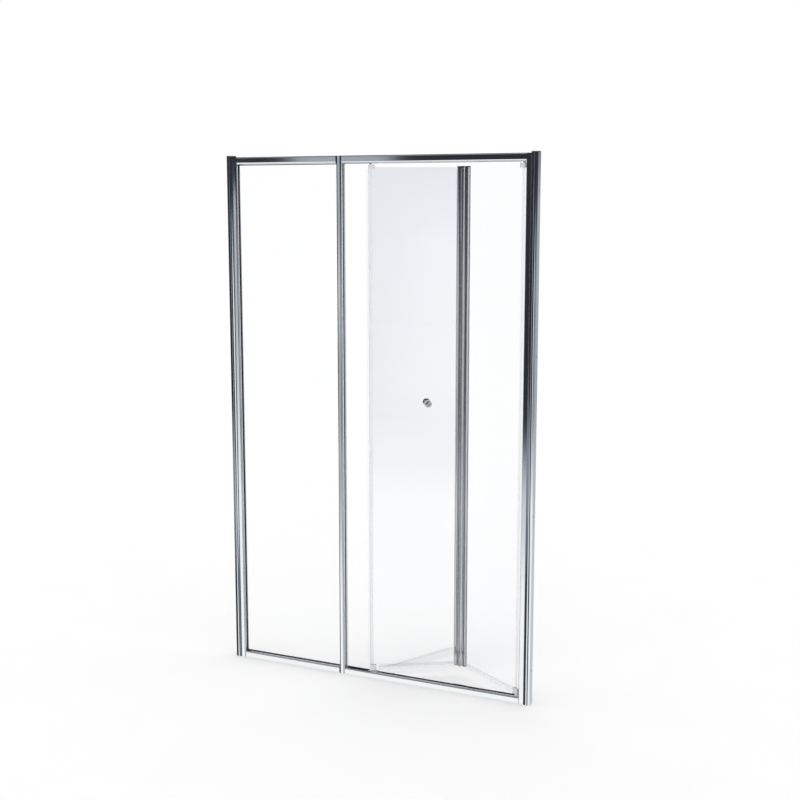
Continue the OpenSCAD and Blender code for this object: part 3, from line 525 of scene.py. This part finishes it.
def make_panel_seals():
    """Wedge seals round the fixed glass, front and back, with a soft lip over each edge of the frame."""
    low = heights("mid_post")[0] + SILL_H
    beside = [(-8.0, 2.52, 0), (-8.0, 4.9, 0), (0.05, 4.9, 0.05), (0.3, 4.6, 0.15), (0.4, 3.2, 0.2),
              (0.4, 2.52, 0)]
    along = [(-8.0, 2.52, 0), (-8.0, 4.9, 0), (0.2, 4.9, 0.2), (1.2, 4.6, 0.5), (1.5, 3.2, 0.5),
             (1.5, 2.52, 0)]
    shape = bmesh.new()
    for s in (-1, 1):
        for edge, inward in ((PANEL_LEFT, 1), (PANEL_RIGHT, -1)):
            outline = rounded([(edge + inward * d, s * n, r) for d, n, r in beside])
            add_extrusion(shape, outline, low + SEAL_END_GAP, HEAD_LOW - SEAL_END_GAP, ON_FRAME)
        for edge, inward in ((low, 1), (HEAD_LOW, -1)):
            outline = rounded([(s * n, edge + inward * d, r) for d, n, r in along])
            add_extrusion(shape, outline, PANEL_LEFT + SEAL_LIP_GAP, PANEL_RIGHT - SEAL_LIP_GAP, ON_FRAME, "X")
    piece_from("panel_wedge_seals", shape, "frame", "panel_glazing_seals", "grey_seal")


def make_fold_coves():
    """Coves of the hinge stiles' extrusions, which fill the corner between the knuckles and the stile."""
    low, high = heights("hinge_pin")
    section = ([Vector((COVE_END, COVE_FACE)), Vector((COVE_ROOT, COVE_FACE))]
               + arc((0, -FOLD_OFFSET), ROUND_KNUCKLES, 75, 3, 12) + arc(COVE_CENTRE, COVE_RADIUS, 180, 91, 16))
    for name, body, place, side in (
            ("fold_cove_pivot", "pivot_leaf", ON_PIVOT_LEAF_AT_FOLD, 1),
            ("fold_cove_leading", "leading_leaf", ON_LEADING_LEAF, -1)):
        shape = bmesh.new()
        outline = [Vector((side * x, y)) for x, y in section]
        add_extrusion(shape, outline, low + COVE_SHORT, high - COVE_SHORT, place)
        piece_from(name, shape, body, None, "hinge")


def rolled_front(point):
    """Rolls the flat margins beside a channel's bead back towards its edges."""
    beside = abs(abs(point.x) - CHANNEL_MIDDLE * MM) - BEAD_HALF * MM
    if point.y < MARGIN_FACE * MM and beside > 0:
        return Vector((point.x, point.y + MARGIN_FALL * beside, point.z))
    return point


def make_all_screws():
    make_screws("pivot_clamp_sockets", "pivot_clamp_screws", "pivot_leaf", "six", CLAMP_SHANK,
                [facing(ON_PIVOT_LEAF, PIVOT_SCREW_ALONG, CLAMP_FACE, z) for z in CLAMP_SCREW_Z])
    make_screws("guide_clamp_sockets", "guide_clamp_screws", "leading_leaf", "six", CLAMP_SHANK,
                [facing(ON_LEADING_LEAF, GUIDE_SCREW_ALONG, CLAMP_FACE, z) for z in CLAMP_SCREW_Z])
    make_screws("channel_pan_heads", "channel_screws", "frame", "cross", CHANNEL_SHANK,
                [facing(ON_FRAME, x, CHANNEL_FACE, z) for x in CHANNEL_SCREW_X for z in CHANNEL_SCREW_Z])


def roll_channels():
    for side in ("left", "right"):
        softened("channel_rolled_" + side, "wall_channel_" + side, "frame", 0.25, "polished_aluminium",
                 bend=rolled_front)


def soften_small_nodes():
    for name, node, body, width, material in (
            ("pivot_shoe_top", "pivot_clamp_top", "pivot_leaf", 0.5, "white_nylon"),
            ("pivot_shoe_bottom", "pivot_clamp_bottom", "pivot_leaf", 0.5, "white_nylon"),
            ("guide_shoe_top", "guide_clamp_top", "leading_leaf", 0.5, "white_nylon"),
            ("guide_shoe_bottom", "guide_clamp_bottom", "leading_leaf", 0.5, "white_nylon"),
            ("slide_block_top", "guide_block_top", "guide", 0.6, "white_nylon"),
            ("slide_block_bottom", "guide_block_bottom", "guide", 0.6, "white_nylon"),
            ("channel_cap_pair", "channel_caps", "frame", 0.5, "grey_plastic"),
            ("pivot_stile_plugs", "pivot_stile_caps", "pivot_leaf", 0.4, "grey_plastic"),
            ("leading_stile_plugs", "leading_stile_caps", "leading_leaf", 0.4, "grey_plastic")):
        softened(name, node, body, width, material)
    softened("knuckle_washers", "hinge_washers", "pivot_leaf", 0.1, "grey_plastic")


def make_world():
    """White to the eye and through glass; reflections show the cards and flags of MIRRORED."""
    world = bpy.data.worlds.new("studio")
    bpy.context.scene.world = world
    tree = Tree(world)
    direction = tree.add("ShaderNodeTexCoord").outputs["Generated"]
    x, y, z = tree.add("ShaderNodeSeparateXYZ", {0: direction}).outputs
    degrees = math.degrees(1)
    azimuth = tree.math("MULTIPLY", tree.math("ARCTAN2", x, tree.math("MULTIPLY", y, -1.0)), degrees)
    elevation = tree.math("MULTIPLY", tree.math("ARCSINE", z), degrees)
    level = ROOM_LEVEL
    for _, centre, half, soft, height, half_height, soft_height, card in MIRRORED:
        across = tree.band(azimuth, centre, half, soft, turn=True)
        up = tree.band(elevation, height, half_height, soft_height)
        level = tree.mix(tree.math("MULTIPLY", across, up), level, card)
    paths = tree.add("ShaderNodeLightPath").outputs
    reflected, seen, lighting = (
        tree.add("ShaderNodeBackground", {"Color": colour, "Strength": strength}).outputs[0]
        for colour, strength in ((tree.cool(level), 1.0), (grey(1.0), 1.0), (grey(1.0), LIGHTING)))
    first = tree.add("ShaderNodeMixShader", {0: paths["Is Glossy Ray"], 1: lighting, 2: reflected})
    direct = tree.math("MAXIMUM", paths["Is Camera Ray"], paths["Is Transmission Ray"])
    second = tree.add("ShaderNodeMixShader", {0: direct, 1: first.outputs[0], 2: seen})
    tree.add("ShaderNodeOutputWorld", {"Surface": second.outputs[0]})


def make_floor():
    """Pale floor that keeps the soft shadow; reflections show the studio's own levels instead."""
    def build(tree):
        cloud = tree.noise(object_point(tree), 3, 3)
        colour = tree.mix_colour(cloud, *(grey(tone) for tone in FLOOR_TONES))
        matt = tree.add("ShaderNodeBsdfDiffuse", {"Color": colour})
        glow = tree.add("ShaderNodeEmission", {"Color": grey(1.0), "Strength": FLOOR_GLOW})
        return tree.add("ShaderNodeAddShader", {0: matt.outputs[0], 1: glow.outputs[0]})

    bottom = CAD_BOX[0][2] - FLOOR_DROP
    corners = [(x * FLOOR_REACH, y * FLOOR_REACH, bottom) for x, y in ((-1, -1), (1, -1), (1, 1), (-1, 1))]
    mesh = bpy.data.meshes.new("floor")
    mesh.from_pydata(corners, [], [(0, 1, 2, 3)])
    mesh.materials.append(new_material("floor", build))
    floor = bpy.data.objects.new("floor", mesh)
    bpy.context.scene.collection.objects.link(floor)
    floor.visible_glossy = False


bpy.context.scene.view_settings.view_transform = "Standard"
make_camera()
make_world()
make_floor()
paint_nodes()
roll_channels()
make_knobs()
make_edge_seals()
make_drip_seals()
make_panel_seals()
make_fold_coves()
make_all_screws()
soften_small_nodes()
